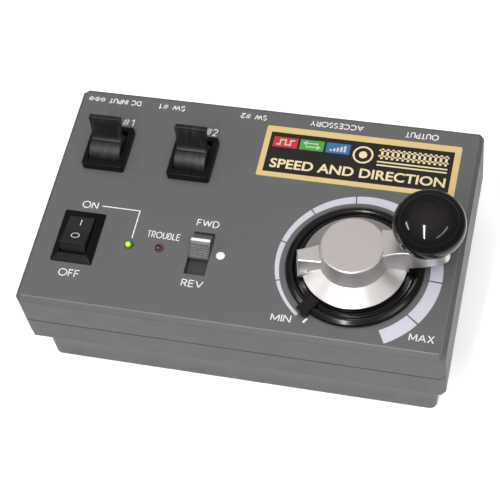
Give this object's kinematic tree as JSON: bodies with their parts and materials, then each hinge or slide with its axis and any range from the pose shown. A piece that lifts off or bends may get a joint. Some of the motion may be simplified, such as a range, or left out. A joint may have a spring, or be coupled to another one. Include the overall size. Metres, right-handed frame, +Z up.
{
  "type": "model train speed controller",
  "caption": "Desk controller for a model railway: ball-topped speed lever on a dial, direction slide, power rocker, turnout levers, signal lights and rear sockets in a stepped plastic case.",
  "frame": {"origin": "middle of the case plan, on the surface the feet stand on", "axes": "+X to the right of the control panel, +Y to the rear where the sockets are, +Z up"},
  "size_m": [0.1514, 0.092, 0.0808],
  "materials": {
    "case_grey": "fine satin texture",
    "black_gloss": "polished",
    "black_satin": "satin",
    "silver_plastic": "satin silver",
    "slide_grey": "satin",
    "label_print": "printed film",
    "label_silver": "matt film",
    "green_lens": "clear tinted",
    "red_lens": "clear tinted",
    "steel": "plated",
    "brass": "plated",
    "board": "solder resist",
    "rubber": "matt",
    "aluminium": "satin",
    "weight_steel": "zinc and black"
  },
  "bodies": {
    "case": {"accessory_socket": "black_satin", "base_weight": "weight_steel", "capacitors": "black_gloss", "case_screws": "steel", "chips": "black_satin", "control_board": "board", "control_board_screws": "steel", "dc_jack": "black_satin", "dc_jack_pin": "brass", "green_led": "green_lens", "heat_sink": "aluminium", "heat_sink_screw": "steel", "led_leads": "steel", "link_header": "brass", "link_socket": "black_satin", "lower_case": "case_grey", "main_board": "board", "main_board_screws": "steel", "nameplate": "label_print", "output_socket": "black_satin", "pot_body": "steel", "pot_terminals": "steel", "power_leads": "black_satin", "power_switch_housing": "black_satin", "power_switch_terminals": "brass", "rating_label": "label_silver", "rear_panel": "case_grey", "red_led": "red_lens", "regulator": "black_satin", "rubber_feet": "rubber", "slide_switch_body": "black_satin", "slide_switch_frame": "steel", "socket_contacts": "brass", "turnout_socket_1": "black_satin", "turnout_socket_2": "black_satin", "turnout_switch_1": "black_satin", "turnout_switch_2": "black_satin", "turnout_switch_terminals": "brass", "upper_case": "case_grey", "weight_screws": "steel"},
    "rocker": {"power_rocker": "black_gloss"},
    "lever_1": {"turnout_lever_1": "black_gloss"},
    "lever_2": {"turnout_lever_2": "black_gloss"},
    "slider": {"slide_knob": "slide_grey"},
    "knob": {"knob_base": "black_gloss", "speed_lever": "silver_plastic", "ball_grip": "black_gloss", "ball_stud": "steel", "pot_shaft": "steel"}
  },
  "joints": [
    {"name": "speed_lever_turn", "type": "hinge", "parent": "case", "child": "knob", "pos_m": [0.0395, -0.0158, 0.0478], "axis": [0, 0, 1], "range_deg": [-300, 0]},
    {"name": "direction_slide", "type": "slide", "parent": "case", "child": "slider", "axis": [0, 1, 0], "range_m": [-0.0064, 0]},
    {"name": "power_rocker_hinge", "type": "hinge", "parent": "case", "child": "rocker", "pos_m": [-0.0588, -0.0188, 0.0466], "axis": [1, 0, 0], "range_deg": [0, 22]},
    {"name": "turnout_lever_1_hinge", "type": "hinge", "parent": "case", "child": "lever_1", "pos_m": [-0.0578, 0.0192, 0.0478], "axis": [1, 0, 0], "range_deg": [0, 33]},
    {"name": "turnout_lever_2_hinge", "type": "hinge", "parent": "case", "child": "lever_2", "pos_m": [-0.026, 0.0192, 0.0478], "axis": [1, 0, 0], "range_deg": [0, 33]}
  ]
}
